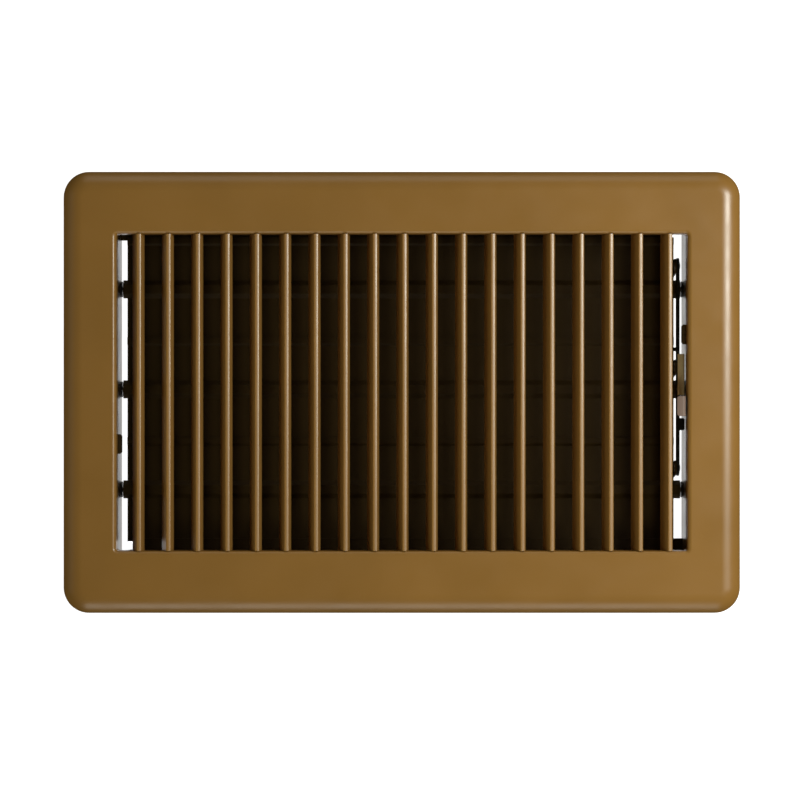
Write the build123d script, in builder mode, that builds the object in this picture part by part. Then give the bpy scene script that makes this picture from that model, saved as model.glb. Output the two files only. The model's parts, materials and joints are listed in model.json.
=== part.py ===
from build123d import *
import math
import os

# Floor register: a pressed faceplate with folded louvres and a three-blade damper box under it.
# +Z points up out of the floor, +X along the long side. Z = 0 is the floor's surface.
# The damper blades turn about X. At rest they are closed, and they open by hanging down.

# ---- Faceplate
face_length = 292.1
face_width = 190.5
face_top = 5.5
sheet = 1.0
corner_radius = 11.0
rim_radius = 10.0
rim_width = 8.7
opening_length = 246.2
opening_width = 136.6
opening_corner = 1.2
lip_radius = 1.8
lip_bottom = -3.5

# ---- Louvres
louvre_count = 19
louvre_pitch = 12.7
louvre_shift = 1.1
louvre_sheet = 0.6
nose_radius = 1.1
louvre_bottom = -3.0
left_lean = 17.0
right_lean = 5.5
tab_top = -0.4
tab_bottom = -2.6
tab_length = 0.9
tab_gap = 0.08

# ---- Damper box, hung a little off the faceplate's centre
box_centre_y = 1.4
box_sheet = 0.8
box_half_length = opening_length / 2 + sheet
box_half_width = 71.1
hem_reach = 65.8
plate_top = 3.5
plate_bottom = -30.8
plate_wing = 11.0
rail_flange = 4.6
rail_flange_inset = 14.0
hem_notch = 9.0
ear_centre = 23.8
ear_length = 8.6
ear_reach = 2.6
ear_level = -7.0
rivet_radius = 1.4
rivet_head = 0.7
rivet_levels = (-8.0, -22.0)
rivet_head_radius = 2.4

# ---- Blades
pivot_z = -27.0
blade_pitch = 44.2
blade_half_width = 23.0
blade_left_end = 121.2
blade_right_end = 120.2
blade_sheet = 0.8
joggle = 1.0
joggle_start = 19.4
rib_half_width = 3.8
rib_crown_half = 1.8
tongue_gap = 0.3
pin_radius = 1.5
pin_inner_end = 108.0
pin_stand_out = 0.4
pin_chamfer = 0.3
pin_grip = 0.05
rib_height = pin_radius - pin_grip + blade_sheet / 2
running_gap = 0.05

# ---- Bushes
bush_radius = 2.5
bush_flange_radius = 3.5
bush_flange = 0.8
bush_tail = 0.4
tongue_end = box_half_length - bush_flange - tongue_gap
pin_outer_end = box_half_length + box_sheet + bush_tail + pin_stand_out

# ---- Cranks and link
crank_y = 9.8
crank_z = 10.7
crank_radius = 3.2
crank_foot = (5.0, 11.0)
crank_inner_x = blade_right_end - blade_sheet
crank_pin_radius = 1.1
crank_head_radius = 2.0
crank_head = 0.6
link_gap = 0.2
link_sheet = 1.0
link_half_height = 3.5
link_inner_x = blade_right_end + link_gap
link_outer_x = link_inner_x + link_sheet
guide_lug_y = (-16.5, -11.2)
guide_lug_end = box_half_length - 0.5
finger_y = (18.0, 19.7)
finger_end = 116.9
crank_hole_gap = 0.08

# ---- Thumb lever and its friction clip
lever_y = (-10.2, -1.6)
lever_sheet = 0.9
lever_pad_x = (118.5, 122.3)
lever_top = 5.0
lever_foot_drop = 3.0
lever_pad_corner = 1.2
lever_rivet_y = (-8.3, -3.5)
clip_y = (-1.2, 16.8)
clip_sheet = 0.4
clip_leaf_rise = 1.2
clip_leaf_end = box_half_length - 0.9
clip_hook_drop = 1.0
clip_fold = 0.5
clip_leg_y = (-1.2, 8.4)
clip_leg_drop = 2.5
clip_rivet_y = 1.6
small_rivet_radius = 0.8
small_head_radius = 1.4
small_head = 0.5

blade_offsets = {"front": -blade_pitch, "middle": 0.0, "back": blade_pitch}
link_z = pivot_z + crank_z

os.makedirs("parts", exist_ok=True)


def finish_piece(builder, name):
    builder.part.label = name
    export_step(builder.part, f"parts/{name}.step")


def leg_normal(lean):
    """Outward normal, as (x, z) away from the louvre, of a leg that leans out by so many degrees."""
    return math.cos(math.radians(lean)), math.sin(math.radians(lean))


def leg_point(radius, lean, side, level):
    """Point of a leg's face at a level. The face is tangent to a nose arc of the given radius."""
    out, up = leg_normal(lean)
    nose_z = face_top - nose_radius
    reach = radius / out + (nose_z - level) * up / out
    return side * reach, level


def nose_point(radius, lean, side):
    out, up = leg_normal(lean)
    return side * radius * out, face_top - nose_radius + radius * up


def across_louvre(index):
    """Plane square to a louvre, with its origin under the middle of the louvre's nose."""
    centre_x = (index - (louvre_count - 1) / 2) * louvre_pitch + louvre_shift
    return Plane(origin=(centre_x, 0, 0), x_dir=(1, 0, 0), z_dir=(0, -1, 0))


# ---- Faceplate: a shallow dome-edged pan, cut at the floor, with a lipped opening
rim_overrun = rim_radius - rim_width
with BuildPart() as faceplate:
    with BuildSketch(Plane.XY.offset(face_top - rim_radius - sheet)):
        RectangleRounded(
            face_length + 2 * rim_overrun,
            face_width + 2 * rim_overrun,
            corner_radius + rim_overrun,
        )
    extrude(amount=rim_radius + sheet)
    fillet(faceplate.faces().sort_by(Axis.Z)[-1].edges(), rim_radius)
    offset(amount=-sheet, openings=faceplate.faces().sort_by(Axis.Z)[0])
    with BuildSketch(Plane.XY):
        RectangleRounded(face_length, face_width, corner_radius)
    extrude(amount=face_top, mode=Mode.INTERSECT)
    with BuildSketch(Plane.XY.offset(lip_bottom)):
        RectangleRounded(
            opening_length + 2 * sheet, opening_width + 2 * sheet, opening_corner + sheet
        )
    extrude(amount=face_top - lip_bottom)
    with BuildSketch(Plane.XY.offset(lip_bottom)):
        RectangleRounded(opening_length, opening_width, opening_corner)
    extrude(amount=face_top - lip_bottom, mode=Mode.SUBTRACT)
    rim_top = faceplate.faces().filter_by(Axis.Z).sort_by(Axis.Z)[-1]
    fillet(rim_top.inner_wires()[0].edges(), lip_radius)
    for index in range(louvre_count):
        with BuildSketch(across_louvre(index)):
            with BuildLine():
                Polyline(
                    leg_point(nose_radius, left_lean, -1, tab_top),
                    leg_point(nose_radius, left_lean, -1, tab_bottom),
                    leg_point(nose_radius - louvre_sheet, left_lean, -1, tab_bottom),
                    leg_point(nose_radius - louvre_sheet, left_lean, -1, tab_top),
                    close=True,
                )
            make_face()
            offset(amount=tab_gap, kind=Kind.INTERSECTION)
        extrude(amount=opening_width / 2 + 2 * sheet, both=True, mode=Mode.SUBTRACT)
finish_piece(faceplate, "faceplate")

# ---- Louvres: one strip each, folded over a round nose, both legs leaning out
for index in range(louvre_count):
    inner_radius = nose_radius - louvre_sheet
    with BuildPart() as louvre:
        with BuildSketch(across_louvre(index)):
            with BuildLine():
                Line(
                    leg_point(nose_radius, left_lean, -1, louvre_bottom),
                    nose_point(nose_radius, left_lean, -1),
                )
                ThreePointArc(
                    nose_point(nose_radius, left_lean, -1),
                    (0, face_top),
                    nose_point(nose_radius, right_lean, 1),
                )
                Polyline(
                    nose_point(nose_radius, right_lean, 1),
                    leg_point(nose_radius, right_lean, 1, louvre_bottom),
                    leg_point(inner_radius, right_lean, 1, louvre_bottom),
                    nose_point(inner_radius, right_lean, 1),
                )
                ThreePointArc(
                    nose_point(inner_radius, right_lean, 1),
                    (0, face_top - louvre_sheet),
                    nose_point(inner_radius, left_lean, -1),
                )
                Polyline(
                    nose_point(inner_radius, left_lean, -1),
                    leg_point(inner_radius, left_lean, -1, louvre_bottom),
                    leg_point(nose_radius, left_lean, -1, louvre_bottom),
                )
            make_face()
        extrude(amount=opening_width / 2 - running_gap, both=True)
        with BuildSketch(across_louvre(index)):
            with BuildLine():
                Polyline(
                    leg_point(nose_radius, left_lean, -1, tab_top),
                    leg_point(nose_radius, left_lean, -1, tab_bottom),
                    leg_point(inner_radius, left_lean, -1, tab_bottom),
                    leg_point(inner_radius, left_lean, -1, tab_top),
                    close=True,
                )
            make_face()
        extrude(amount=opening_width / 2 + tab_length, both=True)
    finish_piece(louvre, f"louvre_{index + 1:02d}")


def corner_rivet_planes(side):
    """Planes across the joint between one rail and both end plates, at each rivet's centre."""
    rivet_x = box_half_length - plate_wing / 2
    rivet_y = box_centre_y + side * (box_half_width + box_sheet)
    return [
        Plane(origin=(end * rivet_x, rivet_y, level), z_dir=(0, 1, 0))
        for end in (-1, 1)
        for level in rivet_levels
    ]


# ---- Side rails: web, outward top flange, inward bottom hem that meets a blade's edge
def make_side_rail(name, side, hem_level):
    web_y = box_centre_y + side * (box_half_width + box_sheet / 2)
    hem_y = box_centre_y + side * hem_reach
    flange_y = web_y + side * rail_flange
    flange_z = face_top - sheet - box_sheet / 2
    with BuildPart() as rail:
        with BuildSketch(Plane.YZ):
            with BuildLine():
                Polyline((web_y, flange_z), (web_y, hem_level), (hem_y, hem_level))
            trace(line_width=box_sheet)
        extrude(amount=box_half_length, both=True)
        with BuildSketch(Plane.YZ):
            with BuildLine():
                Polyline((flange_y, flange_z), (web_y - side * box_sheet / 2, flange_z))
            trace(line_width=box_sheet)
        extrude(amount=box_half_length - rail_flange_inset, both=True)
        notch_x = side * (box_half_length - hem_notch / 2)
        with BuildSketch(Plane.XY.offset(hem_level - box_sheet)):
            with Locations((notch_x, box_centre_y + side * (hem_reach + box_half_width) / 2)):
                Rectangle(hem_notch, box_half_width - hem_reach)
        extrude(amount=2 * box_sheet, mode=Mode.SUBTRACT)
        with Locations(*corner_rivet_planes(side)):
            Cylinder(rivet_radius, 2 * box_sheet, mode=Mode.SUBTRACT)
    finish_piece(rail, name)


make_side_rail("back_side_rail", 1, pivot_z)
make_side_rail("front_side_rail", -1, pivot_z + joggle)


# ---- End plates: web with bush holes, a wing along each rail and one lanced ear
def make_end_plate(name, side):
    web_x = side * (box_half_length + box_sheet / 2)
    wing_y = box_half_width + 1.5 * box_sheet
    wing_x = web_x - side * plate_wing
    ear_y = box_centre_y + side * ear_centre
    with BuildPart() as plate:
        with BuildSketch(Plane.XY.offset(plate_bottom)):
            with BuildLine():
                Polyline(
                    (wing_x, box_centre_y - wing_y),
                    (web_x, box_centre_y - wing_y),
                    (web_x, box_centre_y + wing_y),
                    (wing_x, box_centre_y + wing_y),
                )
            trace(line_width=box_sheet)
        extrude(amount=plate_top - plate_bottom)
        for offset_y in blade_offsets.values():
            with Locations(Plane(origin=(web_x, box_centre_y + offset_y, pivot_z), z_dir=(1, 0, 0))):
                Hole(bush_radius)
        with BuildSketch(Plane.YZ):
            with Locations((ear_y, ear_level + ear_reach / 2 + box_sheet / 2)):
                Rectangle(ear_length, ear_reach)
        extrude(amount=side * (box_half_length + 2 * box_sheet), mode=Mode.SUBTRACT)
        with BuildSketch(Plane.XY.offset(ear_level - box_sheet / 2)):
            with Locations((side * (box_half_length + (box_sheet - ear_reach) / 2), ear_y)):
                Rectangle(ear_reach + box_sheet, ear_length)
        extrude(amount=box_sheet)
        with Locations(*corner_rivet_planes(-1), *corner_rivet_planes(1)):
            Cylinder(rivet_radius, 2 * box_sheet, mode=Mode.SUBTRACT)
    finish_piece(plate, name)


make_end_plate("left_end_plate", -1)
make_end_plate("right_end_plate", 1)

with BuildPart() as corner_rivets:
    with Locations(*corner_rivet_planes(-1), *corner_rivet_planes(1)):
        Cylinder(rivet_radius, 2 * box_sheet)
        for head_side in (-1, 1):
            with Locations((0, 0, head_side * (box_sheet + rivet_head / 2))):
                Cylinder(rivet_head_radius, rivet_head)
finish_piece(corner_rivets, "corner_rivets")


# ---- Bushes: flanged sleeves pressed into each end plate
def make_bushes(name, side):
    with BuildPart() as bushes:
        for offset_y in blade_offsets.values():
            seat = Plane(
                origin=(side * (box_half_length - bush_flange), box_centre_y + offset_y, pivot_z),
                z_dir=(side, 0, 0),
            )
            with BuildSketch(seat):
                Circle(bush_flange_radius)
                Circle(pin_radius + running_gap, mode=Mode.SUBTRACT)
            extrude(amount=bush_flange)
            with BuildSketch(seat):
                Circle(bush_radius)
                Circle(pin_radius + running_gap, mode=Mode.SUBTRACT)
            extrude(amount=bush_flange + box_sheet + bush_tail)
    finish_piece(bushes, name)


make_bushes("left_pivot_bushes", -1)
make_bushes("right_pivot_bushes", 1)


# ---- Blades: ribbed strip, joggled back edge, tongue at each end, crank ear at the right end
def across_blade(start_x, offset_y):
    """Plane square to X at a blade, with its origin on the blade's pivot."""
    pivot_y = box_centre_y + offset_y
    return Plane(origin=(start_x, pivot_y, pivot_z), x_dir=(0, 1, 0), z_dir=(1, 0, 0))


def make_blade(name, offset_y):
    rib = [
        (-rib_half_width, 0),
        (-rib_crown_half, rib_height),
        (rib_crown_half, rib_height),
        (rib_half_width, 0),
    ]
    with BuildPart() as blade:
        with BuildSketch(across_blade(-blade_left_end, offset_y)):
            with BuildLine():
                Polyline(
                    (-blade_half_width, 0),
                    *rib,
                    (joggle_start, 0),
                    (joggle_start + joggle, joggle),
                    (blade_half_width, joggle),
                )
            trace(line_width=blade_sheet)
        extrude(amount=blade_left_end + blade_right_end)
        with BuildSketch(across_blade(0, offset_y)):
            with BuildLine():
                Polyline(*rib)
            trace(line_width=blade_sheet)
        extrude(amount=tongue_end, both=True)
        with BuildSketch(across_blade(crank_inner_x, offset_y)):
            with Locations((crank_y, crank_z)):
                Circle(crank_radius)
            with Locations((sum(crank_foot) / 2, 0)):
                Rectangle(crank_foot[1] - crank_foot[0], blade_sheet)
            make_hull()
            with Locations((crank_y, crank_z)):
                Circle(crank_pin_radius + crank_hole_gap, mode=Mode.SUBTRACT)
        extrude(amount=blade_sheet)
    finish_piece(blade, name)


def make_blade_pins(name, offset_y):
    """Pivot pins: one at each end, gripped under the rib."""
    with BuildPart() as pins:
        for side in (-1, 1):
            start = Plane(
                origin=(side * pin_inner_end, box_centre_y + offset_y, pivot_z),
                z_dir=(side, 0, 0),
            )
            with BuildSketch(start):
                Circle(pin_radius)
            extrude(amount=pin_outer_end - pin_inner_end)
            outer_edge = pins.edges().filter_by(GeomType.CIRCLE).sort_by(Axis.X)
            chamfer(outer_edge[-1 if side > 0 else 0], pin_chamfer)
    finish_piece(pins, name)


for blade_name, offset_y in blade_offsets.items():
    make_blade(f"{blade_name}_blade", offset_y)
    make_blade_pins(f"{blade_name}_blade_pins", offset_y)


# ---- Link bar: joins the three cranks, with a guide lug outward and a clip finger inward
link_centre_y = box_centre_y + crank_y
link_top = link_z + link_half_height


def across_link(start_x):
    """Plane square to X at the link, with its origin on the middle crank pin."""
    return Plane(origin=(start_x, link_centre_y, link_z), x_dir=(0, 1, 0), z_dir=(1, 0, 0))


with BuildPart() as link_bar:
    with BuildSketch(across_link(link_inner_x)):
        SlotCenterToCenter(2 * blade_pitch, 2 * link_half_height)
        with Locations(*[(y, 0) for y in blade_offsets.values()]):
            Circle(crank_pin_radius, mode=Mode.SUBTRACT)
        with Locations(*[(y - link_centre_y, 0) for y in (*lever_rivet_y, clip_rivet_y)]):
            Circle(small_rivet_radius, mode=Mode.SUBTRACT)
    extrude(amount=link_sheet)
    for lug_y, lug_end in ((guide_lug_y, guide_lug_end), (finger_y, finger_end)):
        root_x = link_inner_x if lug_end > link_outer_x else link_outer_x
        with BuildSketch(Plane.XY.offset(link_top - link_sheet)):
            with Locations(((root_x + lug_end) / 2, sum(lug_y) / 2)):
                Rectangle(abs(lug_end - root_x), lug_y[1] - lug_y[0])
        extrude(amount=link_sheet)
finish_piece(link_bar, "link_bar")

with BuildPart() as crank_rivets:
    inner_face = crank_inner_x - running_gap
    for offset_y in blade_offsets.values():
        with BuildSketch(across_link(inner_face - crank_head)):
            with Locations((offset_y, 0)):
                Circle(crank_head_radius)
        extrude(amount=crank_head)
        with BuildSketch(across_link(inner_face)):
            with Locations((offset_y, 0)):
                Circle(crank_pin_radius)
        extrude(amount=link_outer_x - inner_face)
        with BuildSketch(across_link(link_outer_x)):
            with Locations((offset_y, 0)):
                Circle(crank_head_radius)
        extrude(amount=crank_head)
finish_piece(crank_rivets, "crank_rivets")


def make_small_rivets(name, rivet_y, clamped):
    """Rivets flush with the link bar's inner face, headed over a sheet on its outer face."""
    with BuildPart() as rivets:
        spots = [(y - link_centre_y, 0) for y in rivet_y]
        with BuildSketch(across_link(link_inner_x)):
            with Locations(*spots):
                Circle(small_rivet_radius)
        extrude(amount=link_sheet + clamped)
        with BuildSketch(across_link(link_outer_x + clamped)):
            with Locations(*spots):
                Circle(small_head_radius)
        extrude(amount=small_head)
    finish_piece(rivets, name)


# ---- Thumb lever: a leg up from the link bar with a pad folded over in the end slot
with BuildPart() as thumb_lever:
    leg_x = link_outer_x + lever_sheet / 2
    pad_z = lever_top - lever_sheet / 2
    lever_middle = sum(lever_y) / 2
    with BuildSketch(Plane(origin=(0, lever_middle, 0), x_dir=(1, 0, 0), z_dir=(0, -1, 0))):
        with BuildLine():
            FilletPolyline(
                (lever_pad_x[0], pad_z),
                (leg_x, pad_z),
                (leg_x, link_z - lever_foot_drop),
                radius=lever_sheet,
            )
        trace(line_width=lever_sheet)
    extrude(amount=(lever_y[1] - lever_y[0]) / 2, both=True)
    pad_corners = thumb_lever.edges().filter_by(Axis.Z).group_by(Axis.X)[0]
    fillet(pad_corners, lever_pad_corner)
    with Locations(*[Plane(origin=(leg_x, y, link_z), z_dir=(1, 0, 0)) for y in lever_rivet_y]):
        Cylinder(small_rivet_radius, 2 * lever_sheet, mode=Mode.SUBTRACT)
finish_piece(thumb_lever, "thumb_lever")
make_small_rivets("lever_rivets", lever_rivet_y, lever_sheet)

# ---- Friction clip: a brass hairpin over the link bar's top edge that rubs the end plate
with BuildPart() as friction_clip:
    clip_leg_x = link_outer_x + clip_sheet / 2
    saddle_z = link_top + clip_sheet / 2
    leaf_z = saddle_z + clip_leaf_rise
    fold_x = link_inner_x + clip_sheet / 2
    clip_middle = sum(clip_y) / 2
    with BuildSketch(Plane(origin=(0, clip_middle, 0), x_dir=(1, 0, 0), z_dir=(0, -1, 0))):
        with BuildLine():
            FilletPolyline(
                (clip_leg_x + clip_sheet / 2, saddle_z),
                (fold_x, saddle_z),
                (fold_x, leaf_z),
                (clip_leaf_end, leaf_z),
                (clip_leaf_end, leaf_z - clip_hook_drop),
                radius=clip_fold,
            )
        trace(line_width=clip_sheet)
    extrude(amount=(clip_y[1] - clip_y[0]) / 2, both=True)
    with BuildSketch(Plane.XY.offset(link_z - clip_leg_drop)):
        with Locations((clip_leg_x, sum(clip_leg_y) / 2)):
            Rectangle(clip_sheet, clip_leg_y[1] - clip_leg_y[0])
    extrude(amount=saddle_z - link_z + clip_leg_drop)
    with Locations(Plane(origin=(clip_leg_x, clip_rivet_y, link_z), z_dir=(1, 0, 0))):
        Cylinder(small_rivet_radius, 2 * clip_sheet, mode=Mode.SUBTRACT)
finish_piece(friction_clip, "friction_clip")
make_small_rivets("clip_rivet", (clip_rivet_y,), clip_sheet)
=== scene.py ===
import json
import math

import bmesh
import bpy
from mathutils import Matrix, Vector


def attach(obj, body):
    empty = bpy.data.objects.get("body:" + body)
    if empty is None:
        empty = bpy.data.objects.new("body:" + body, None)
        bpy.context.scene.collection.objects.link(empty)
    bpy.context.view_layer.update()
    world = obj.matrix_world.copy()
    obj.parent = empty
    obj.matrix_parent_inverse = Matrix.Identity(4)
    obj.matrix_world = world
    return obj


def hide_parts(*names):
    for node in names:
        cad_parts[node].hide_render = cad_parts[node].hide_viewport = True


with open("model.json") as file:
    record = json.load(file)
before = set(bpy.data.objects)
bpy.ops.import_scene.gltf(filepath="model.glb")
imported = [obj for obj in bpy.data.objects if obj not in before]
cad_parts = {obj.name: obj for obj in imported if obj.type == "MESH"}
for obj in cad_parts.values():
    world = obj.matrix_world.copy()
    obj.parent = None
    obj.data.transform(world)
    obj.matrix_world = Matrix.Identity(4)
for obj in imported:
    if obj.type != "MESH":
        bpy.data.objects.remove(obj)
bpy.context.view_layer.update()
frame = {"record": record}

MM = 0.001

# ---- Driving sizes in millimetres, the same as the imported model's
FACE_LENGTH, FACE_WIDTH, FACE_TOP = 292.1, 190.5, 5.5
SHEET = 1.0
CORNER_RADIUS = 11.0
RIM_RADIUS, RIM_WIDTH, RIM_EDGE = 10.0, 8.7, 0.12
OPENING_LENGTH, OPENING_WIDTH, OPENING_CORNER = 246.2, 136.6, 1.2
LIP_RADIUS, LIP_BOTTOM = 1.8, -3.5

LOUVRE_COUNT, LOUVRE_PITCH, LOUVRE_SHIFT = 19, 12.7, 1.1
LOUVRE_SHEET, LOUVRE_BOTTOM = 0.6, -3.0
FOLD_RADIUS = 1.1
CREST_RADIUS, CREST_OFFSET, SHOULDER_RADIUS = 3.5, -0.8, 0.35
LEFT_LEAN, RIGHT_LEAN = 17.0, 5.5
TAB_TOP, TAB_BOTTOM, TAB_LENGTH, TAB_GAP = -0.4, -2.6, 0.9, 0.08

BOX_CENTRE_Y = 1.4
BOX_SHEET = 0.8
RAIL_FOLD, PLATE_FOLD, BLADE_FOLD = 0.6, 0.8, 0.6
BOX_HALF_LENGTH = OPENING_LENGTH / 2 + SHEET
BOX_HALF_WIDTH = 71.1
HEM_REACH = 65.8
PLATE_TOP, PLATE_BOTTOM, PLATE_WING = 3.5, -30.8, 11.0
RAIL_FLANGE, RAIL_FLANGE_INSET = 4.6, 14.0
HEM_NOTCH = 9.0
EAR_CENTRE, EAR_LENGTH, EAR_REACH, EAR_LEVEL, EAR_CORNER = 23.8, 8.6, 2.6, -7.0, 0.8
RIVET_RADIUS, RIVET_HEAD, RIVET_HEAD_RADIUS = 1.4, 0.7, 2.4
RIVET_LEVELS = (-8.0, -22.0)

PIVOT_Z = -27.0
BLADE_PITCH, BLADE_HALF_WIDTH, BLADE_SHEET = 44.2, 23.0, 0.8
BLADE_LEFT_END, BLADE_RIGHT_END = 121.2, 120.2
JOGGLE, JOGGLE_START = 1.0, 19.4
RIB_HALF_WIDTH, RIB_CROWN_HALF = 3.8, 1.8
PIN_RADIUS, PIN_GRIP, PIN_CHAMFER, PIN_INNER_END = 1.5, 0.05, 0.3, 108.0
RIB_HEIGHT = PIN_RADIUS - PIN_GRIP + BLADE_SHEET / 2
RUNNING_GAP = 0.05
BUSH_RADIUS, BUSH_FLANGE_RADIUS, BUSH_FLANGE, BUSH_TAIL = 2.5, 3.5, 0.8, 0.4
BUSH_CHAMFER = 0.15
TONGUE_GAP, PIN_OVERHANG = 0.3, 0.4
TONGUE_END = BOX_HALF_LENGTH - BUSH_FLANGE - TONGUE_GAP
PIN_OUTER_END = BOX_HALF_LENGTH + BOX_SHEET + BUSH_TAIL + PIN_OVERHANG

CRANK_Y, CRANK_Z, CRANK_RADIUS, CRANK_FOOT = 9.8, 10.7, 3.2, (5.0, 11.0)
CRANK_FOOT_RISE = 0.05
CRANK_INNER_X = BLADE_RIGHT_END - BLADE_SHEET
CRANK_PIN_RADIUS, CRANK_HEAD_RADIUS, CRANK_HEAD = 1.1, 2.0, 0.6
CRANK_HOLE_GAP = 0.08
LINK_SHEET, LINK_HALF_HEIGHT, LINK_GAP = 1.0, 3.5, 0.2
LINK_INNER_X = BLADE_RIGHT_END + LINK_GAP
LINK_OUTER_X = LINK_INNER_X + LINK_SHEET
LINK_Y, LINK_Z = BOX_CENTRE_Y + CRANK_Y, PIVOT_Z + CRANK_Z
GUIDE_LUG_Y, GUIDE_LUG_GAP = (-16.5, -11.2), 0.5
GUIDE_LUG_END = BOX_HALF_LENGTH - GUIDE_LUG_GAP
FINGER_Y, FINGER_END = (18.0, 19.7), 116.9
LUG_CORNER, LUG_SINK = 0.5, 0.3

LEVER_Y, LEVER_SHEET, LEVER_TOP = (-10.2, -1.6), 0.9, 5.0
LEVER_PAD_INNER_X, LEVER_PAD_CORNER, LEVER_FOOT_DROP = 118.5, 1.2, 3.0
LEVER_RIVET_Y = (-8.3, -3.5)
CLIP_Y, CLIP_LEG_Y, CLIP_SHEET = (-1.2, 16.8), (-1.2, 8.4), 0.4
CLIP_LEAF_RISE, CLIP_LEAF_GAP, CLIP_HOOK_DROP = 1.2, 0.9, 1.0
CLIP_LEAF_END = BOX_HALF_LENGTH - CLIP_LEAF_GAP
CLIP_LEG_DROP, CLIP_RIVET_Y = 2.5, 1.6
SMALL_RIVET_RADIUS, SMALL_HEAD_RADIUS, SMALL_HEAD = 0.8, 1.4, 0.5

BLADES = {"front": -BLADE_PITCH, "middle": 0.0, "back": BLADE_PITCH}
FINISHED = "_finished"
ROUND = 40
ARC_STEPS = 8
HEAD_BRIM = 0.25
OVERRUN = 1.0
EDGE_BREAK, LOUVRE_EDGE, LEVER_EDGE, CLIP_EDGE = 0.1, 0.07, 0.15, 0.06
WELD_DISTANCE, SLACK = 0.001, 0.1


# ---- Materials
def new_material(name):
    material = bpy.data.materials.new(name)
    material.use_nodes = True
    tree = material.node_tree
    tree.nodes.clear()
    output = tree.nodes.new("ShaderNodeOutputMaterial")
    shader = tree.nodes.new("ShaderNodeBsdfPrincipled")
    tree.links.new(shader.outputs["BSDF"], output.inputs["Surface"])
    return material, tree, shader


def mapped_noise(tree, scale, detail=3.0, stretch=(1.0, 1.0, 1.0)):
    """Noise in object space. The scale is in cells per metre."""
    place = tree.nodes.new("ShaderNodeTexCoord")
    mapping = tree.nodes.new("ShaderNodeMapping")
    mapping.inputs["Scale"].default_value = stretch
    noise = tree.nodes.new("ShaderNodeTexNoise")
    noise.inputs["Scale"].default_value = scale
    noise.inputs["Detail"].default_value = detail
    tree.links.new(place.outputs["Object"], mapping.inputs["Vector"])
    tree.links.new(mapping.outputs["Vector"], noise.inputs["Vector"])
    return noise.outputs["Fac"]


def ramped(tree, value, low, high, low_at=0.3, high_at=0.7):
    """Colour or grey that goes from low to high as the value does."""
    ramp = tree.nodes.new("ShaderNodeValToRGB")
    ramp.color_ramp.elements[0].position = low_at
    ramp.color_ramp.elements[1].position = high_at
    ramp.color_ramp.elements[0].color = (*low, 1.0)
    ramp.color_ramp.elements[1].color = (*high, 1.0)
    tree.links.new(value, ramp.inputs["Fac"])
    return ramp.outputs["Color"]


def bump(tree, shader, height, distance, strength):
    node = tree.nodes.new("ShaderNodeBump")
    node.inputs["Distance"].default_value = distance
    node.inputs["Strength"].default_value = strength
    tree.links.new(height, node.inputs["Height"])
    tree.links.new(node.outputs["Normal"], shader.inputs["Normal"])


def tinted(colour, share):
    return tuple(channel * share for channel in colour)


def enamel(name, colour, roughness, peel=0.25, drift=0.06, shine=0.5):
    """Baked enamel on pressed steel: faint orange peel, and a slow drift of tone and gloss."""
    material, tree, shader = new_material(name)
    tone = mapped_noise(tree, 22.0, detail=4.0)
    tree.links.new(
        ramped(tree, tone, tinted(colour, 1 - drift), tinted(colour, 1 + drift)),
        shader.inputs["Base Color"],
    )
    gloss = mapped_noise(tree, 90.0, detail=5.0)
    low, high = roughness - 0.04, roughness + 0.05
    tree.links.new(
        ramped(tree, gloss, (low, low, low), (high, high, high)), shader.inputs["Roughness"]
    )
    bump(tree, shader, mapped_noise(tree, 900.0, detail=2.0), 0.00002, peel)
    shader.inputs["Specular IOR Level"].default_value = shine
    return material


def metal(name, colour, roughness, grain=(1.0, 1.0, 1.0), blotch=0.12, bare=1.0):
    """Bare or plated metal, with a drawn grain that also varies its gloss."""
    material, tree, shader = new_material(name)
    shader.inputs["Metallic"].default_value = bare
    tone = mapped_noise(tree, 300.0, detail=5.0, stretch=grain)
    tree.links.new(
        ramped(tree, tone, tinted(colour, 1 - blotch), tinted(colour, 1 + blotch)),
        shader.inputs["Base Color"],
    )
    low, high = roughness - 0.08, roughness + 0.1
    tree.links.new(
        ramped(tree, tone, (high, high, high), (low, low, low)), shader.inputs["Roughness"]
    )
    bump(tree, shader, mapped_noise(tree, 2500.0, detail=2.0, stretch=grain), 0.00001, 0.3)
    return material


def nylon(name, colour):
    """Moulded nylon: even colour with a fine matt texture from the mould."""
    material, tree, shader = new_material(name)
    tone = mapped_noise(tree, 500.0)
    tree.links.new(
        ramped(tree, tone, tinted(colour, 0.8), tinted(colour, 1.2)), shader.inputs["Base Color"]
    )
    shader.inputs["Roughness"].default_value = 0.5
    bump(tree, shader, mapped_noise(tree, 3000.0), 0.00001, 0.3)
    return material


MATERIALS = {
    "brown_enamel": enamel("brown_enamel", (0.265, 0.137, 0.032), 0.33, shine=0.57),
    "dark_enamel": enamel("dark_enamel", (0.055, 0.033, 0.01), 0.45, shine=0.2),
    "plate_enamel": enamel("plate_enamel", (0.1, 0.066, 0.03), 0.3),
    "black_enamel": enamel("black_enamel", (0.012, 0.011, 0.010), 0.42),
    "zinc_steel": metal("zinc_steel", (0.58, 0.585, 0.6), 0.34),
    "lever_enamel": enamel("lever_enamel", (0.18, 0.125, 0.1), 0.4, drift=0.1, shine=0.3),
    # The brass is made mostly non-metallic, with its base raised to a bright yellow, so that the
    # clip looks lit where it sits in the rim's shade: its own brass colour with painted light
    # raised into it.
    "brass": metal("brass", (0.95, 0.74, 0.38), 0.3, grain=(1.0, 0.15, 1.0), bare=0.1),
    "nylon": nylon("nylon", (0.02, 0.02, 0.021)),
}
SLOT_OF = {row["node"]: row["material_slot"] for row in frame["record"]["subparts"]}
GLOSSIER = {"left_end_plate": "plate_enamel", "right_end_plate": "plate_enamel"}
BODY_OF = {
    node: body for body, nodes in frame["record"]["behaviour"]["bodies"].items() for node in nodes
}


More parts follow.
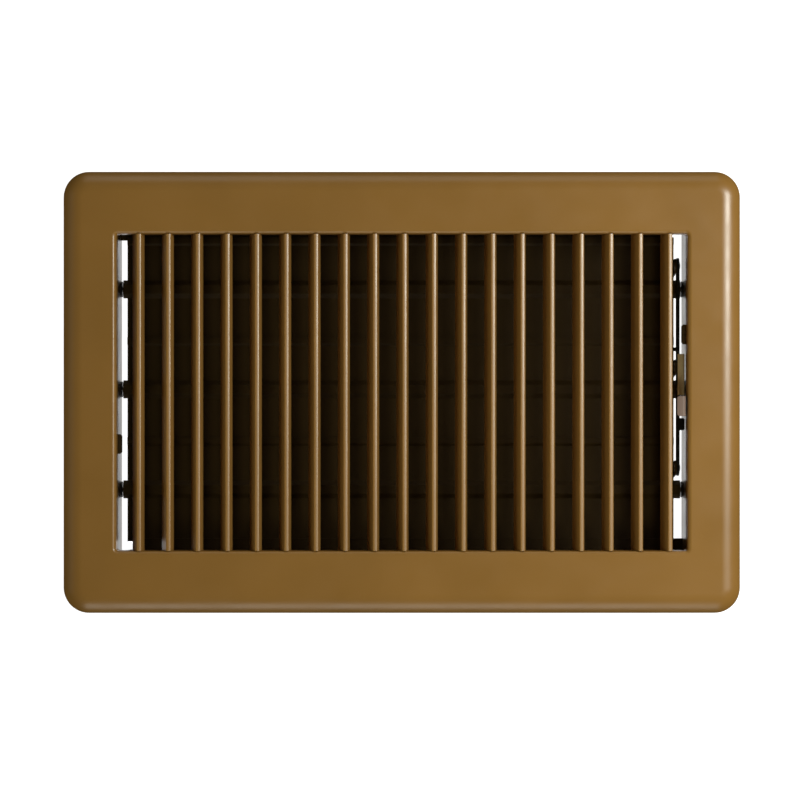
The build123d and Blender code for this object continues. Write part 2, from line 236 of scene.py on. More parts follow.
# ---- Mesh helpers. Forms are drawn in millimetres and scaled to metres as they are finished.
def mesh_object(name, form):
    bmesh.ops.recalc_face_normals(form, faces=form.faces)
    bmesh.ops.scale(form, vec=(MM, MM, MM), verts=form.verts)
    mesh = bpy.data.meshes.new(name)
    form.to_mesh(mesh)
    form.free()
    mesh.shade_smooth()
    thing = bpy.data.objects.new(name + FINISHED, mesh)
    bpy.context.scene.collection.objects.link(thing)
    return thing


def settle(thing):
    """Makes the modifiers' result the object's own mesh."""
    graph = bpy.context.evaluated_depsgraph_get()
    shaped = bpy.data.meshes.new_from_object(thing.evaluated_get(graph))
    shaped.name = thing.name
    old = thing.data
    thing.modifiers.clear()
    thing.data = shaped
    bpy.data.meshes.remove(old)


def combine(thing, tool_form, operation):
    tool = mesh_object("tool", tool_form)
    modifier = thing.modifiers.new("combine", "BOOLEAN")
    modifier.operation = operation
    modifier.solver = "EXACT"
    modifier.object = tool
    settle(thing)
    mesh = tool.data
    bpy.data.objects.remove(tool)
    bpy.data.meshes.remove(mesh)


def cut(thing, tool_form):
    combine(thing, tool_form, "DIFFERENCE")


def join(thing, tool_form):
    combine(thing, tool_form, "UNION")


def round_edges(thing, width, segments=2, angle=40.0):
    """Breaks every sharp edge by a small radius, as tumbling and enamel do."""
    modifier = thing.modifiers.new("edges", "BEVEL")
    modifier.width = width * MM
    modifier.segments = segments
    modifier.limit_method = "ANGLE"
    modifier.angle_limit = math.radians(angle)
    shading = thing.modifiers.new("shading", "WEIGHTED_NORMAL")
    shading.keep_sharp = True
    settle(thing)


def hand_in(thing):
    """Gives a finished piece its material, and puts it in place of its CAD node."""
    node = thing.name.removesuffix(FINISHED)
    thing.data.materials.clear()
    thing.data.materials.append(MATERIALS[GLOSSIER.get(node, SLOT_OF[node])])
    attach(thing, BODY_OF[node])
    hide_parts(node)


def arc(centre, radius, start, end, steps=ARC_STEPS):
    """Points of an arc. Angles are in degrees from the first axis towards the second."""
    turns = [math.radians(start + (end - start) * step / steps) for step in range(steps + 1)]
    return [
        (centre[0] + radius * math.cos(turn), centre[1] + radius * math.sin(turn)) for turn in turns
    ]


def folded(corners, radius, steps=5):
    """A path through its corners with every fold rounded to one radius."""
    path = [Vector(corners[0])]
    for before, corner, after in zip(corners, corners[1:], corners[2:]):
        corner = Vector(corner)
        back = (Vector(before) - corner).normalized()
        on = (Vector(after) - corner).normalized()
        half_angle = back.angle(on) / 2
        reach = radius / math.tan(half_angle)
        centre = corner + (back + on).normalized() * radius / math.sin(half_angle)
        first, last = corner + back * reach - centre, corner + on * reach - centre
        sweep = first.angle_signed(last)
        for step in range(steps + 1):
            turn = Matrix.Rotation(-sweep * step / steps, 2)
            path.append(centre + turn @ first)
    path.append(Vector(corners[-1]))
    return path


def swept_sheet(name, path, stations, place, thickness, present=None):
    """A folded sheet: a path swept through stations, kept only in its present cells.

    place turns a path point and a station into a point in space.
    """
    form = bmesh.new()
    rows = []
    for station in stations:
        rows.append([form.verts.new(place(point, station)) for point in path])
    for row, (low, high) in enumerate(zip(rows, rows[1:])):
        for step in range(len(path) - 1):
            if present is None or present(row, path[step], path[step + 1]):
                form.faces.new((low[step], low[step + 1], high[step + 1], high[step]))
    loose = [vert for vert in form.verts if not vert.link_faces]
    bmesh.ops.delete(form, geom=loose, context="VERTS")
    thing = mesh_object(name, form)
    modifier = thing.modifiers.new("sheet", "SOLIDIFY")
    modifier.thickness = thickness * MM
    modifier.offset = 0.0
    modifier.use_even_offset = True
    settle(thing)
    return thing


def prism(form, outline, place, start, end):
    """A closed outline pushed from one station to another."""
    ends = []
    for station in (start, end):
        ends.append([form.verts.new(place(point, station)) for point in outline])
    form.faces.new(ends[0])
    form.faces.new(ends[1])
    count = len(outline)
    for step in range(count):
        follow = (step + 1) % count
        form.faces.new((ends[0][step], ends[0][follow], ends[1][follow], ends[1][step]))


def along_x(point, station):
    """A point of a section square to X. Its first axis is Y and its second is Z."""
    return station, point[0], point[1]


def along_y(point, station):
    """A point of a section square to Y. Its first axis is X and its second is Z."""
    return point[0], station, point[1]


def along_z(point, station):
    """A point of a section square to Z. Its first axis is X and its second is Y."""
    return point[0], point[1], station


def circle(centre, radius, count=ROUND):
    return arc(centre, radius, 0.0, 360.0 * (count - 1) / count, count - 1)


def drill(form, centre, radius, start_x, end_x):
    """A round cutter along X that runs past both faces of the sheet that it goes through."""
    prism(form, circle(centre, radius), along_x, start_x - OVERRUN, end_x + OVERRUN)


def rectangle(low, high):
    return [(low[0], low[1]), (high[0], low[1]), (high[0], high[1]), (low[0], high[1])]


def lathe(form, profile, centre, axis, count=ROUND):
    """A turned solid from (distance along the axis, radius), closed on the axis or on itself."""
    axis = Vector(axis)
    side = axis.orthogonal().normalized()
    other = axis.cross(side)
    rings = []
    for reach, radius in profile:
        middle = Vector(centre) + axis * reach
        if radius == 0:
            rings.append([form.verts.new(middle)])
            continue
        ring = []
        for step in range(count):
            turn = 2 * math.pi * step / count
            outward = side * math.cos(turn) + other * math.sin(turn)
            ring.append(form.verts.new(middle + radius * outward))
        rings.append(ring)
    closed = profile[0][1] > 0
    pairs = list(zip(rings, rings[1:]))
    if closed:
        pairs.append((rings[-1], rings[0]))
    for low, high in pairs:
        for step in range(count):
            follow = (step + 1) % count
            if len(low) == 1:
                form.faces.new((low[0], high[follow], high[step]))
            elif len(high) == 1:
                form.faces.new((low[step], low[follow], high[0]))
            else:
                form.faces.new((low[step], low[follow], high[follow], high[step]))


def dome(radius, height, start, outward):
    """Profile of a rivet's domed head, from its rim at start to its crown."""
    brim = HEAD_BRIM * height
    crown = height - brim
    ball = (radius**2 + crown**2) / (2 * crown)
    half_angle = math.degrees(math.asin(radius / ball))
    points = [(start, radius)]
    for reach, across in arc((brim - (ball - crown), 0.0), ball, half_angle, 0.0, 6):
        points.append((start + outward * reach, max(across, 0.0)))
    points[-1] = (points[-1][0], 0.0)
    return points


def two_headed(low, high, shank_radius, head_radius, head):
    """Profile of a rivet with a domed head beyond each end of its shank."""
    low_head, high_head = dome(head_radius, head, low, -1), dome(head_radius, head, high, 1)
    return low_head[::-1] + [(low, shank_radius), (high, shank_radius)] + high_head


# ---- Faceplate
def rounded_ring(half_x, half_y, radius, steps=12):
    """Corners of a rounded rectangle, the same number of points whatever its size."""
    points = []
    for quarter, (sign_x, sign_y) in enumerate(((1, 1), (-1, 1), (-1, -1), (1, -1))):
        centre = (sign_x * (half_x - radius), sign_y * (half_y - radius))
        points += arc(centre, radius, 90.0 * quarter, 90.0 * (quarter + 1), steps)
    return points


def outer_ring(inset):
    return rounded_ring(FACE_LENGTH / 2 - inset, FACE_WIDTH / 2 - inset, CORNER_RADIUS - inset)


def opening_ring(spread):
    return rounded_ring(
        OPENING_LENGTH / 2 + spread, OPENING_WIDTH / 2 + spread, OPENING_CORNER + spread
    )


def make_faceplate():
    """One skin over the dome-edged rim, down the lip, under its edge and back beneath."""
    edge = RIM_EDGE
    rim_centre_z = FACE_TOP - RIM_RADIUS
    rim_turn = math.degrees(math.asin(RIM_WIDTH / RIM_RADIUS))
    inner_radius = RIM_RADIUS - SHEET
    under_turn = math.degrees(math.acos(-rim_centre_z / inner_radius))
    lip_z = FACE_TOP - LIP_RADIUS
    back_radius = LIP_RADIUS - SHEET
    # The rim's outer edge on the floor is broken in two steps.
    rings = [(outer_ring(edge), 0.0), (outer_ring(edge * 0.3), edge * 0.3), (outer_ring(0.0), edge)]
    for across, z in arc((RIM_WIDTH, rim_centre_z), RIM_RADIUS, 90.0 + rim_turn, 90.0, 20):
        rings.append((outer_ring(across), z))
    for spread, z in arc((LIP_RADIUS, lip_z), LIP_RADIUS, 90.0, 180.0, 10):
        rings.append((opening_ring(spread), z))
    for spread, z in arc((edge, LIP_BOTTOM + edge), edge, 180.0, 270.0, 3):
        rings.append((opening_ring(spread), z))
    for spread, z in arc((SHEET - edge, LIP_BOTTOM + edge), edge, 270.0, 360.0, 3):
        rings.append((opening_ring(spread), z))
    for spread, z in arc((LIP_RADIUS, lip_z), back_radius, 180.0, 90.0, 6):
        rings.append((opening_ring(spread), z))
    for across, z in arc((RIM_WIDTH, rim_centre_z), inner_radius, 90.0, 90.0 + under_turn, 16):
        rings.append((outer_ring(across), z))
    form = bmesh.new()
    loops = [[form.verts.new((x, y, z)) for x, y in ring] for ring, z in rings]
    count = len(loops[0])
    for low, high in zip(loops, loops[1:] + loops[:1]):
        for step in range(count):
            follow = (step + 1) % count
            form.faces.new((low[step], low[follow], high[follow], high[step]))
    bmesh.ops.remove_doubles(form, verts=form.verts, dist=WELD_DISTANCE)
    faceplate = mesh_object("faceplate", form)
    slots = bmesh.new()
    for index in range(LOUVRE_COUNT):
        centre_x = louvre_x(index)
        top, bottom = TAB_TOP + TAB_GAP, TAB_BOTTOM - TAB_GAP
        near, far = FOLD_RADIUS + TAB_GAP, FOLD_RADIUS - LOUVRE_SHEET - TAB_GAP
        corners = ((near, top), (near, bottom), (far, bottom), (far, top))
        leg = [louvre_leg(radius, LEFT_LEAN, -1, level) for radius, level in corners]
        outline = [(centre_x + x, z) for x, z in leg]
        for side in (-1, 1):
            inner = side * (OPENING_WIDTH / 2 - SHEET)
            outer = side * (OPENING_WIDTH / 2 + 2 * SHEET)
            prism(slots, outline, along_y, inner, outer)
    cut(faceplate, slots)
    shading = faceplate.modifiers.new("shading", "WEIGHTED_NORMAL")
    shading.keep_sharp = True
    faceplate.data.set_sharp_from_angle(angle=math.radians(50.0))
    settle(faceplate)
    hand_in(faceplate)


# ---- Louvres
def louvre_x(index):
    return (index - (LOUVRE_COUNT - 1) / 2) * LOUVRE_PITCH + LOUVRE_SHIFT


def louvre_leg(radius, lean, side, level):
    """Point of a leg's face at a level, on the line tangent to a fold of the given radius."""
    out, up = math.cos(math.radians(lean)), math.sin(math.radians(lean))
    reach = radius / out + (FACE_TOP - FOLD_RADIUS - level) * up / out
    return side * reach, level


def crest_turn(lean, side):
    """Angle from upright at which the crest's arc hands over to the tighter shoulder."""
    out, up = math.cos(math.radians(lean)), math.sin(math.radians(lean))
    leg_line = (FACE_TOP - FOLD_RADIUS) * up + FOLD_RADIUS
    reach = leg_line - SHOULDER_RADIUS - (FACE_TOP - CREST_RADIUS) * up - side * CREST_OFFSET * out
    return math.degrees(math.asin(reach / (CREST_RADIUS - SHOULDER_RADIUS))) - lean


def louvre_section():
    """Outer and inner points of a louvre, from the left leg's foot over the crest to the right's.

    The crest is pressed nearly flat and slopes a little to the right, between two tight shoulders.
    """
    inner_radius = FOLD_RADIUS - LOUVRE_SHEET
    outer, inner = [], []
    for level in (LOUVRE_BOTTOM, TAB_BOTTOM, TAB_TOP):
        outer.append(louvre_leg(FOLD_RADIUS, LEFT_LEAN, -1, level))
        inner.append(louvre_leg(inner_radius, LEFT_LEAN, -1, level))
    left_turn, right_turn = crest_turn(LEFT_LEAN, -1), crest_turn(RIGHT_LEAN, 1)
    crest = (CREST_OFFSET, FACE_TOP - CREST_RADIUS)
    gap = CREST_RADIUS - SHOULDER_RADIUS

    def shoulder(angle):
        turn = math.radians(angle)
        return crest[0] + gap * math.sin(turn), crest[1] + gap * math.cos(turn)

    spans = [
        (LEFT_LEAN - 90.0, -left_turn, shoulder(-left_turn), SHOULDER_RADIUS),
        (-left_turn, right_turn, crest, CREST_RADIUS),
        (right_turn, 90.0 - RIGHT_LEAN, shoulder(right_turn), SHOULDER_RADIUS),
    ]
    for number, (start, end, centre, radius) in enumerate(spans):
        for step in range(min(number, 1), ARC_STEPS + 1):
            angle = math.radians(start + (end - start) * step / ARC_STEPS)
            across, up = math.sin(angle), math.cos(angle)
            outer.append((centre[0] + radius * across, centre[1] + radius * up))
            inner.append((inner_radius * across, FACE_TOP - FOLD_RADIUS + inner_radius * up))
    outer.append(louvre_leg(FOLD_RADIUS, RIGHT_LEAN, 1, LOUVRE_BOTTOM))
    inner.append(louvre_leg(inner_radius, RIGHT_LEAN, 1, LOUVRE_BOTTOM))
    return outer, inner


def make_louvre(index):
    outer, inner = louvre_section()
    centre_x = louvre_x(index)
    half = OPENING_WIDTH / 2 - RUNNING_GAP
    form = bmesh.new()
    rows = []
    for y in (-half, half):
        rows.append(
            [
                [form.verts.new((centre_x + x, y, z)) for x, z in points]
                for points in (outer, inner)
            ]
        )
    (outer_a, inner_a), (outer_b, inner_b) = rows
    last = len(outer) - 1
    for step in range(last):
        form.faces.new((outer_a[step], outer_a[step + 1], outer_b[step + 1], outer_b[step]))
        form.faces.new((inner_a[step], inner_b[step], inner_b[step + 1], inner_a[step + 1]))
    for step in (0, last):
        form.faces.new((outer_a[step], outer_b[step], inner_b[step], inner_a[step]))
    tab_step = 1
    for (outer_end, inner_end), side in zip(rows, (-1, 1)):
        reach = Vector((0, side * TAB_LENGTH + math.copysign(RUNNING_GAP, side), 0))
        for step in range(last):
            cap = (outer_end[step], inner_end[step], inner_end[step + 1], outer_end[step + 1])
            if step != tab_step:
                form.faces.new(cap)
                continue
            tip = [form.verts.new(vert.co + reach) for vert in cap]
            form.faces.new(tip)
            for edge in range(4):
                follow = (edge + 1) % 4
                form.faces.new((cap[edge], cap[follow], tip[follow], tip[edge]))
    louvre = mesh_object(f"louvre_{index + 1:02d}", form)
    round_edges(louvre, LOUVRE_EDGE, angle=50.0)
    hand_in(louvre)


# ---- Damper box
def rivet_places(side):
    rivet_x = BOX_HALF_LENGTH - PLATE_WING / 2
    rivet_y = BOX_CENTRE_Y + side * (BOX_HALF_WIDTH + BOX_SHEET)
    return [(end * rivet_x, rivet_y, level) for end in (-1, 1) for level in RIVET_LEVELS]


def rivet_holes():
    holes = bmesh.new()
    for side in (-1, 1):
        for x, y, z in rivet_places(side):
            start_y, end_y = y - 2 * BOX_SHEET, y + 2 * BOX_SHEET
            prism(holes, circle((x, z), RIVET_RADIUS), along_y, start_y, end_y)
    return holes


def make_side_rail(name, side, hem_level):
    web_y = BOX_CENTRE_Y + side * (BOX_HALF_WIDTH + BOX_SHEET / 2)
    hem_y = BOX_CENTRE_Y + side * HEM_REACH
    flange_y = web_y + side * RAIL_FLANGE
    flange_z = FACE_TOP - SHEET - BOX_SHEET / 2
    corners = [(flange_y, flange_z), (web_y, flange_z), (web_y, hem_level), (hem_y, hem_level)]
    path = folded(corners, RAIL_FOLD)
    inset = BOX_HALF_LENGTH - RAIL_FLANGE_INSET
    notch = side * (BOX_HALF_LENGTH - HEM_NOTCH)
    stations = sorted({-BOX_HALF_LENGTH, -inset, inset, BOX_HALF_LENGTH, notch})

    def present(row, first, second):
        """The flange stops short of both ends, and the hem short of the notch at one end."""
        middle = (stations[row] + stations[row + 1]) / 2
        off_web = abs(first[0] - web_y) + abs(second[0] - web_y) > 0
        if min(first[1], second[1]) > flange_z - RAIL_FOLD and off_web:
            return abs(middle) < inset
        if max(first[1], second[1]) < hem_level + RAIL_FOLD:
            return side * middle < side * notch
        return True

    rail = swept_sheet(name, path, stations, along_x, BOX_SHEET, present)
    cut(rail, rivet_holes())
    round_edges(rail, EDGE_BREAK)
    hand_in(rail)


def make_end_plate(name, side):
    web_x = side * (BOX_HALF_LENGTH + BOX_SHEET / 2)
    wing_y = BOX_HALF_WIDTH + 1.5 * BOX_SHEET
    wing_x = web_x - side * PLATE_WING
    corners = [
        (wing_x, BOX_CENTRE_Y - wing_y),
        (web_x, BOX_CENTRE_Y - wing_y),
        (web_x, BOX_CENTRE_Y + wing_y),
        (wing_x, BOX_CENTRE_Y + wing_y),
    ]
    path = folded(corners, PLATE_FOLD)
    plate = swept_sheet(name, path, (PLATE_BOTTOM, PLATE_TOP), along_z, BOX_SHEET)
    openings = rivet_holes()
    inner_x = side * (BOX_HALF_LENGTH - BOX_SHEET)
    outer_x = side * (BOX_HALF_LENGTH + 2 * BOX_SHEET)
    for offset_y in BLADES.values():
        bore = circle((BOX_CENTRE_Y + offset_y, PIVOT_Z), BUSH_RADIUS)
        prism(openings, bore, along_x, inner_x, outer_x)
    ear_y = BOX_CENTRE_Y + side * EAR_CENTRE
    window_bottom = EAR_LEVEL + BOX_SHEET / 2
    ear_low, ear_high = ear_y - EAR_LENGTH / 2, ear_y + EAR_LENGTH / 2
    window = rectangle((ear_low, window_bottom), (ear_high, window_bottom + EAR_REACH))
    prism(openings, window, along_x, inner_x, outer_x)
    cut(plate, openings)
    ear = bmesh.new()
    tip_x = side * (BOX_HALF_LENGTH - EAR_REACH)
    root_x = side * (BOX_HALF_LENGTH + BOX_SHEET)
    outline = [(root_x, ear_low), (root_x, ear_high)]
    outline += [(tip_x + side * EAR_CORNER, ear_high), (tip_x, ear_high - EAR_CORNER)]
    outline += [(tip_x, ear_low + EAR_CORNER), (tip_x + side * EAR_CORNER, ear_low)]
    prism(ear, outline, along_z, EAR_LEVEL - BOX_SHEET / 2, EAR_LEVEL + BOX_SHEET / 2)
    join(plate, ear)
    round_edges(plate, EDGE_BREAK)
    hand_in(plate)


def make_corner_rivets():
    form = bmesh.new()
    profile = two_headed(-BOX_SHEET, BOX_SHEET, RIVET_RADIUS, RIVET_HEAD_RADIUS, RIVET_HEAD)
    for side in (-1, 1):
        for place in rivet_places(side):
            lathe(form, profile, place, (0, 1, 0))
    hand_in(turned("corner_rivets", form))


def turned(name, form):
    """A turned piece: smooth round its axis, sharp where its profile turns a corner."""
    thing = mesh_object(name, form)
    thing.data.set_sharp_from_angle(angle=math.radians(40.0))
    return thing


def make_bushes(name, side):
    """Flanged sleeves pressed into the end plate, with a small chamfer at the bore."""
    form = bmesh.new()
    bore = PIN_RADIUS + RUNNING_GAP
    length = BUSH_FLANGE + BOX_SHEET + BUSH_TAIL
    profile = [
        (BUSH_CHAMFER, bore),
        (0.0, bore + BUSH_CHAMFER),
        (0.0, BUSH_FLANGE_RADIUS - BUSH_CHAMFER),
        (BUSH_CHAMFER, BUSH_FLANGE_RADIUS),
        (BUSH_FLANGE, BUSH_FLANGE_RADIUS),
        (BUSH_FLANGE, BUSH_RADIUS),
        (length - BUSH_CHAMFER, BUSH_RADIUS),
        (length, BUSH_RADIUS - BUSH_CHAMFER),
        (length, bore + BUSH_CHAMFER),
        (length - BUSH_CHAMFER, bore),
    ]
    for offset_y in BLADES.values():
        seat = (side * (BOX_HALF_LENGTH - BUSH_FLANGE), BOX_CENTRE_Y + offset_y, PIVOT_Z)
        lathe(form, profile, seat, (side, 0, 0))
    hand_in(turned(name, form))


# ---- Blades
def make_blade(name, offset_y):
    """A ribbed strip with a joggled back edge, a tongue at each end and a crank ear."""
    pivot_y = BOX_CENTRE_Y + offset_y
    corners = [
        (-BLADE_HALF_WIDTH, 0.0),
        (-RIB_HALF_WIDTH, 0.0),
        (-RIB_CROWN_HALF, RIB_HEIGHT),
        (RIB_CROWN_HALF, RIB_HEIGHT),
        (RIB_HALF_WIDTH, 0.0),
        (JOGGLE_START, 0.0),
        (JOGGLE_START + JOGGLE, JOGGLE),
        (BLADE_HALF_WIDTH, JOGGLE),
    ]
    path = [(pivot_y + y, PIVOT_Z + z) for y, z in folded(corners, BLADE_FOLD)]
    stations = (-TONGUE_END, -BLADE_LEFT_END, BLADE_RIGHT_END, TONGUE_END)
    rib_reach = RIB_HALF_WIDTH + SLACK

    def present(row, first, second):
        """Beyond the blade's ends only its rib goes on, as the tongue."""
        return row == 1 or max(abs(first[0] - pivot_y), abs(second[0] - pivot_y)) < rib_reach

    blade = swept_sheet(f"{name}_blade", path, stations, along_x, BLADE_SHEET, present)
    ear = bmesh.new()
    centre = (pivot_y + CRANK_Y, PIVOT_Z + CRANK_Z)
    foot_low, foot_high = (pivot_y + y for y in CRANK_FOOT)
    foot_z = PIVOT_Z - BLADE_SHEET / 2 + CRANK_FOOT_RISE
    outline = [(foot_low, foot_z), (foot_high, foot_z)]
    outline += tangent_arc(centre, CRANK_RADIUS, (foot_high, foot_z), (foot_low, foot_z))
    prism(ear, outline, along_x, CRANK_INNER_X, BLADE_RIGHT_END)
    join(blade, ear)
    hole = bmesh.new()
    drill(hole, centre, CRANK_PIN_RADIUS + CRANK_HOLE_GAP, CRANK_INNER_X, BLADE_RIGHT_END)
    cut(blade, hole)
    round_edges(blade, EDGE_BREAK)
    hand_in(blade)


def tangent_arc(centre, radius, right_foot, left_foot):
    """Arc over the top of a circle, between the tangents from a foot on each side."""
    turns = []
    for foot, side in ((right_foot, 1), (left_foot, -1)):
        away = Vector(foot) - Vector(centre)
        turn = math.degrees(math.atan2(away.y, away.x) + side * math.acos(radius / away.length))
        turns.append(turn)
    start, end = turns
    while end < start:
        end += 360.0
    return arc(centre, radius, start, end, 24)


def make_blade_pins(name, offset_y):
    form = bmesh.new()
    for side in (-1, 1):
        start = (side * PIN_INNER_END, BOX_CENTRE_Y + offset_y, PIVOT_Z)
        length = PIN_OUTER_END - PIN_INNER_END
        profile = [
            (0.0, 0.0),
            (0.0, PIN_RADIUS - PIN_CHAMFER),
            (PIN_CHAMFER, PIN_RADIUS),
            (length - PIN_CHAMFER, PIN_RADIUS),
            (length, PIN_RADIUS - PIN_CHAMFER),
            (length, 0.0),
        ]
        lathe(form, profile, start, (side, 0, 0))
    hand_in(turned(f"{name}_blade_pins", form))


# ---- Link, lever and clip
def make_link_bar():
    form = bmesh.new()
    outline = arc((LINK_Y - BLADE_PITCH, LINK_Z), LINK_HALF_HEIGHT, 90.0, 270.0, 16)
    outline += arc((LINK_Y + BLADE_PITCH, LINK_Z), LINK_HALF_HEIGHT, -90.0, 90.0, 16)
    prism(form, outline, along_x, LINK_INNER_X, LINK_OUTER_X)
    bar = mesh_object("link_bar", form)
    lugs = bmesh.new()
    top = LINK_Z + LINK_HALF_HEIGHT
    for (low_y, high_y), end_x in ((GUIDE_LUG_Y, GUIDE_LUG_END), (FINGER_Y, FINGER_END)):
        outward = math.copysign(1.0, end_x - LINK_OUTER_X)
        root_x = (LINK_OUTER_X if outward > 0 else LINK_INNER_X) - outward * LUG_SINK
        corner_x = end_x - outward * LUG_CORNER
        lug = [
            (root_x, low_y),
            (corner_x, low_y),
            (end_x, low_y + LUG_CORNER),
            (end_x, high_y - LUG_CORNER),
            (corner_x, high_y),
            (root_x, high_y),
        ]
        prism(lugs, lug, along_z, top - LINK_SHEET, top)
    join(bar, lugs)
    holes = bmesh.new()
    for offset_y in BLADES.values():
        pin = (LINK_Y + offset_y, LINK_Z)
        drill(holes, pin, CRANK_PIN_RADIUS, LINK_INNER_X, LINK_OUTER_X)
    for y in (*LEVER_RIVET_Y, CLIP_RIVET_Y):
        drill(holes, (y, LINK_Z), SMALL_RIVET_RADIUS, LINK_INNER_X, LINK_OUTER_X)
    cut(bar, holes)
    round_edges(bar, EDGE_BREAK)
    hand_in(bar)


def make_crank_rivets():
    form = bmesh.new()
    inner_face = CRANK_INNER_X - RUNNING_GAP
    length = LINK_OUTER_X - inner_face
    profile = two_headed(0.0, length, CRANK_PIN_RADIUS, CRANK_HEAD_RADIUS, CRANK_HEAD)
    for offset_y in BLADES.values():
        lathe(form, profile, (inner_face, LINK_Y + offset_y, LINK_Z), (1, 0, 0))
    hand_in(turned("crank_rivets", form))


def make_small_rivets(name, rivet_y, clamped):
    """Rivets flush with the link bar's inner face, domed over the sheet on its outer face."""
    form = bmesh.new()
    length = LINK_SHEET + clamped
    for y in rivet_y:
        shank = [(0.0, 0.0), (0.0, SMALL_RIVET_RADIUS), (length, SMALL_RIVET_RADIUS)]
        profile = shank + dome(SMALL_HEAD_RADIUS, SMALL_HEAD, length, 1)
        lathe(form, profile, (LINK_INNER_X, y, LINK_Z), (1, 0, 0))
    hand_in(turned(name, form))


def make_thumb_lever():
    """A leg up from the link bar, folded over into a pad with rounded corners."""
    leg_x = LINK_OUTER_X + LEVER_SHEET / 2
    pad_z = LEVER_TOP - LEVER_SHEET / 2
    middle = sum(LEVER_Y) / 2
    half = (LEVER_Y[1] - LEVER_Y[0]) / 2
    corners = [(LEVER_PAD_INNER_X, pad_z), (leg_x, pad_z), (leg_x, LINK_Z - LEVER_FOOT_DROP)]
    path = folded(corners, LEVER_SHEET)
    rounding = []
    rounding_steps = 6
    for step in range(1, rounding_steps + 1):
        inward = LEVER_PAD_CORNER * (1 - math.cos(math.radians(90.0 / rounding_steps * step)))
        rounding.append(Vector((LEVER_PAD_INNER_X + inward, pad_z)))
    path = path[:1] + rounding + path[1:]

    def place(point, station):
        """Narrows the pad towards its inner edge, along the round of its corners."""
        short = LEVER_PAD_CORNER - (point[0] - LEVER_PAD_INNER_X)
        narrow = 0.0
        if short > 0:
            narrow = LEVER_PAD_CORNER - math.sqrt(LEVER_PAD_CORNER**2 - short**2)
        return point[0], middle + station * (half - narrow), point[1]

    lever = swept_sheet("thumb_lever", path, (-1.0, 1.0), place, LEVER_SHEET)
    holes = bmesh.new()
    for y in LEVER_RIVET_Y:
        drill(holes, (y, LINK_Z), SMALL_RIVET_RADIUS, LINK_OUTER_X, LINK_OUTER_X + LEVER_SHEET)
    cut(lever, holes)
    round_edges(lever, LEVER_EDGE)
    hand_in(lever)


def make_friction_clip():
    """A brass hairpin over the link bar's top edge, with a leg riveted to the bar's face."""
    leg_x = LINK_OUTER_X + CLIP_SHEET / 2
    saddle_z = LINK_Z + LINK_HALF_HEIGHT + CLIP_SHEET / 2
    leaf_z = saddle_z + CLIP_LEAF_RISE
    fold_x = LINK_INNER_X + CLIP_SHEET / 2
    corners = [
        (leg_x, LINK_Z - CLIP_LEG_DROP),
        (leg_x, saddle_z),
        (fold_x, saddle_z),
        (fold_x, leaf_z),
        (CLIP_LEAF_END, leaf_z),
        (CLIP_LEAF_END, leaf_z - CLIP_HOOK_DROP),
    ]
    path = folded(corners, CLIP_SHEET)
    stations = (CLIP_Y[0], CLIP_LEG_Y[1], CLIP_Y[1])
    leg_top = LINK_Z + LINK_HALF_HEIGHT

    def present(row, first, second):
        on_leg = max(first[1], second[1]) < leg_top and first[0] < LINK_OUTER_X + LINK_SHEET
        return row == 0 or not on_leg

    clip = swept_sheet("friction_clip", path, stations, along_y, CLIP_SHEET, present)
    hole = bmesh.new()
    # The leg is thinner than the overrun, so the cutter goes right through it from its one face.
    drill(hole, (CLIP_RIVET_Y, LINK_Z), SMALL_RIVET_RADIUS, LINK_OUTER_X, LINK_OUTER_X)
    cut(clip, hole)
    round_edges(clip, CLIP_EDGE)
    hand_in(clip)


make_faceplate()
for louvre_index in range(LOUVRE_COUNT):
    make_louvre(louvre_index)
make_side_rail("back_side_rail", 1, PIVOT_Z)
make_side_rail("front_side_rail", -1, PIVOT_Z + JOGGLE)
make_end_plate("left_end_plate", -1)
make_end_plate("right_end_plate", 1)
make_corner_rivets()
make_bushes("left_pivot_bushes", -1)
make_bushes("right_pivot_bushes", 1)
for blade_name, blade_offset in BLADES.items():
    make_blade(blade_name, blade_offset)
    make_blade_pins(blade_name, blade_offset)
make_link_bar()
make_crank_rivets()
make_thumb_lever()
make_small_rivets("lever_rivets", LEVER_RIVET_Y, LEVER_SHEET)
make_friction_clip()
make_small_rivets("clip_rivet", (CLIP_RIVET_Y,), CLIP_SHEET)


# ---- Stage: a white table, with a well under the damper box so that open blades hang free
TABLE_Z = -30.85
WELL = ((-121.5, -67.0), (121.5, 70.0))
WELL_DEPTH = 26.0
BED = ((-127.0, -76.0), (127.0, 79.0))
TABLE_REACH = 6000.0


def stage_material():
    material, _, shader = new_material("white_table")
    shader.inputs["Base Color"].default_value = (0.4, 0.4, 0.4, 1.0)
    shader.inputs["Roughness"].default_value = 0.9
    shader.inputs["Emission Color"].default_value = (1.0, 1.0, 1.0, 1.0)
    shader.inputs["Emission Strength"].default_value = 1.0
    return material


def floor_ring(name, hole, border, material, depth=0.0):
    """A flat ring of table around a hole. With a depth, the hole has walls and a bottom."""
    form = bmesh.new()

    def loop(corners, z):
        return [form.verts.new((x, y, z)) for x, y in rectangle(*corners)]

    outer, inner = loop(border, TABLE_Z), loop(hole, TABLE_Z)
    bottom = loop(hole, TABLE_Z - depth) if depth else None
    for first in range(4):
        second = (first + 1) % 4
        form.faces.new((outer[first], outer[second], inner[second], inner[first]))
        if bottom:
            form.faces.new((inner[first], inner[second], bottom[second], bottom[first]))
    if bottom:
        form.faces.new(bottom)
    floor = mesh_object(name, form)
    floor.data.shade_flat()
    floor.data.materials.append(material)
    return floor


def make_table():
    """The bed right under the box lights it from below. The table around it shows no reflection."""
    material = stage_material()
    floor_ring("table_bed", WELL, BED, material, WELL_DEPTH)
    reach = ((-TABLE_REACH, -TABLE_REACH), (TABLE_REACH, TABLE_REACH))
    table = floor_ring("table", BED, reach, material)
    table.visible_glossy = False
    table.visible_diffuse = False


make_table()


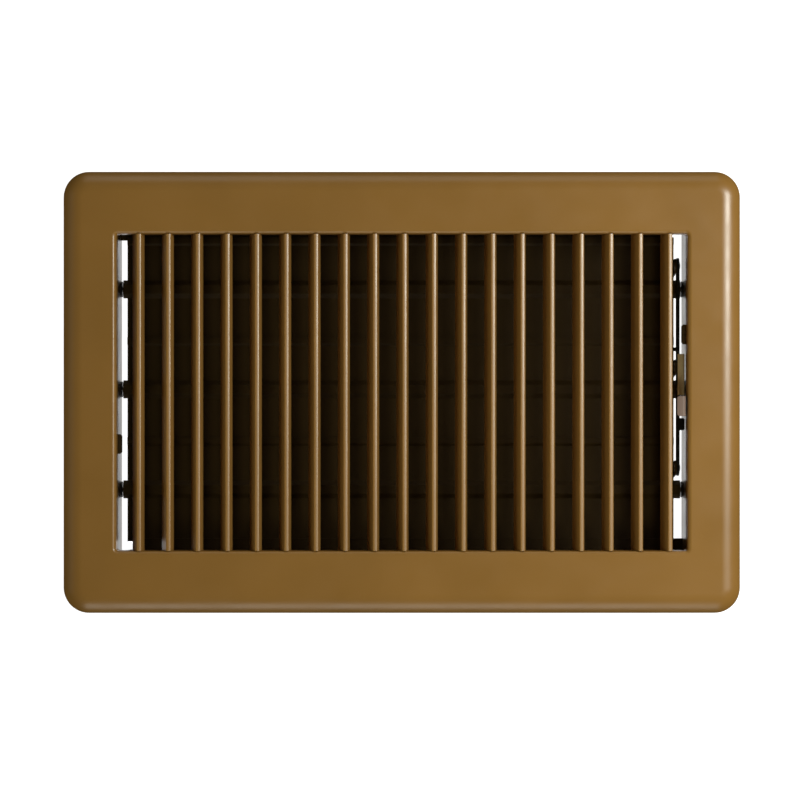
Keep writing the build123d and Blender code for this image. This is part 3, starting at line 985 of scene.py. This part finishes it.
# ---- Light
LAMP_WHITE = (1.0, 0.99, 0.9)


def area_light(name, place, target, size, watts, mirrored=True):
    data = bpy.data.lights.new(name, "AREA")
    data.shape = "RECTANGLE"
    data.size, data.size_y = size
    data.energy = watts
    data.color = LAMP_WHITE
    lamp = bpy.data.objects.new(name, data)
    lamp.location = place
    lamp.rotation_mode = "QUATERNION"
    lamp.rotation_quaternion = (Vector(target) - Vector(place)).to_track_quat("-Z", "Y")
    lamp.visible_glossy = mirrored
    bpy.context.scene.collection.objects.link(lamp)


MIDDLE = (0.0, 0.0, 0.0)
area_light("key_softbox", (0.55, 0.14, 0.50), (0.08, 0.02, 0.0), (0.24, 0.24), 4.2)
area_light("left_fill", (-1.0, 0.0, 0.35), MIDDLE, (0.8, 0.5), 3.0, mirrored=False)
area_light("back_fill", (0.0, 1.0, 0.3), MIDDLE, (0.8, 0.5), 1.3)
area_light("front_fill", (0.0, -1.0, 0.3), MIDDLE, (0.8, 0.5), 2.7)
area_light("right_fill", (0.7, 0.0, 0.8), MIDDLE, (0.6, 0.6), 1.6)
area_light("near_fill", (0.12, -0.2, 0.38), (0.12, 0.0, 0.0), (0.06, 0.1), 0.26, mirrored=False)

# The world is white behind the table for the camera alone, and lights nothing.
world = bpy.data.worlds.new("studio")
bpy.context.scene.world = world
world.use_nodes = True
world.node_tree.nodes["Background"].inputs["Color"].default_value = (1.0, 1.0, 1.0, 1.0)
world.node_tree.nodes["Background"].inputs["Strength"].default_value = 1.0
world.cycles_visibility.diffuse = False
world.cycles_visibility.glossy = False

# ---- Camera: straight above the face
CAMERA_CENTRE = (-0.76, -3.3)
CAMERA_HEIGHT = 1155.5
FRAME_WIDTH = 345.7
SENSOR = 36.0

camera_data = bpy.data.cameras.new("camera")
camera_data.sensor_width = SENSOR
camera_data.lens = SENSOR * CAMERA_HEIGHT / FRAME_WIDTH
camera_data.clip_start = 0.05
camera_data.clip_end = 50.0
camera = bpy.data.objects.new("camera", camera_data)
camera.location = (CAMERA_CENTRE[0] * MM, CAMERA_CENTRE[1] * MM, CAMERA_HEIGHT * MM)
bpy.context.scene.collection.objects.link(camera)
bpy.context.scene.camera = camera

scene = bpy.context.scene
scene.view_settings.view_transform = "Standard"
scene.view_settings.look = "None"
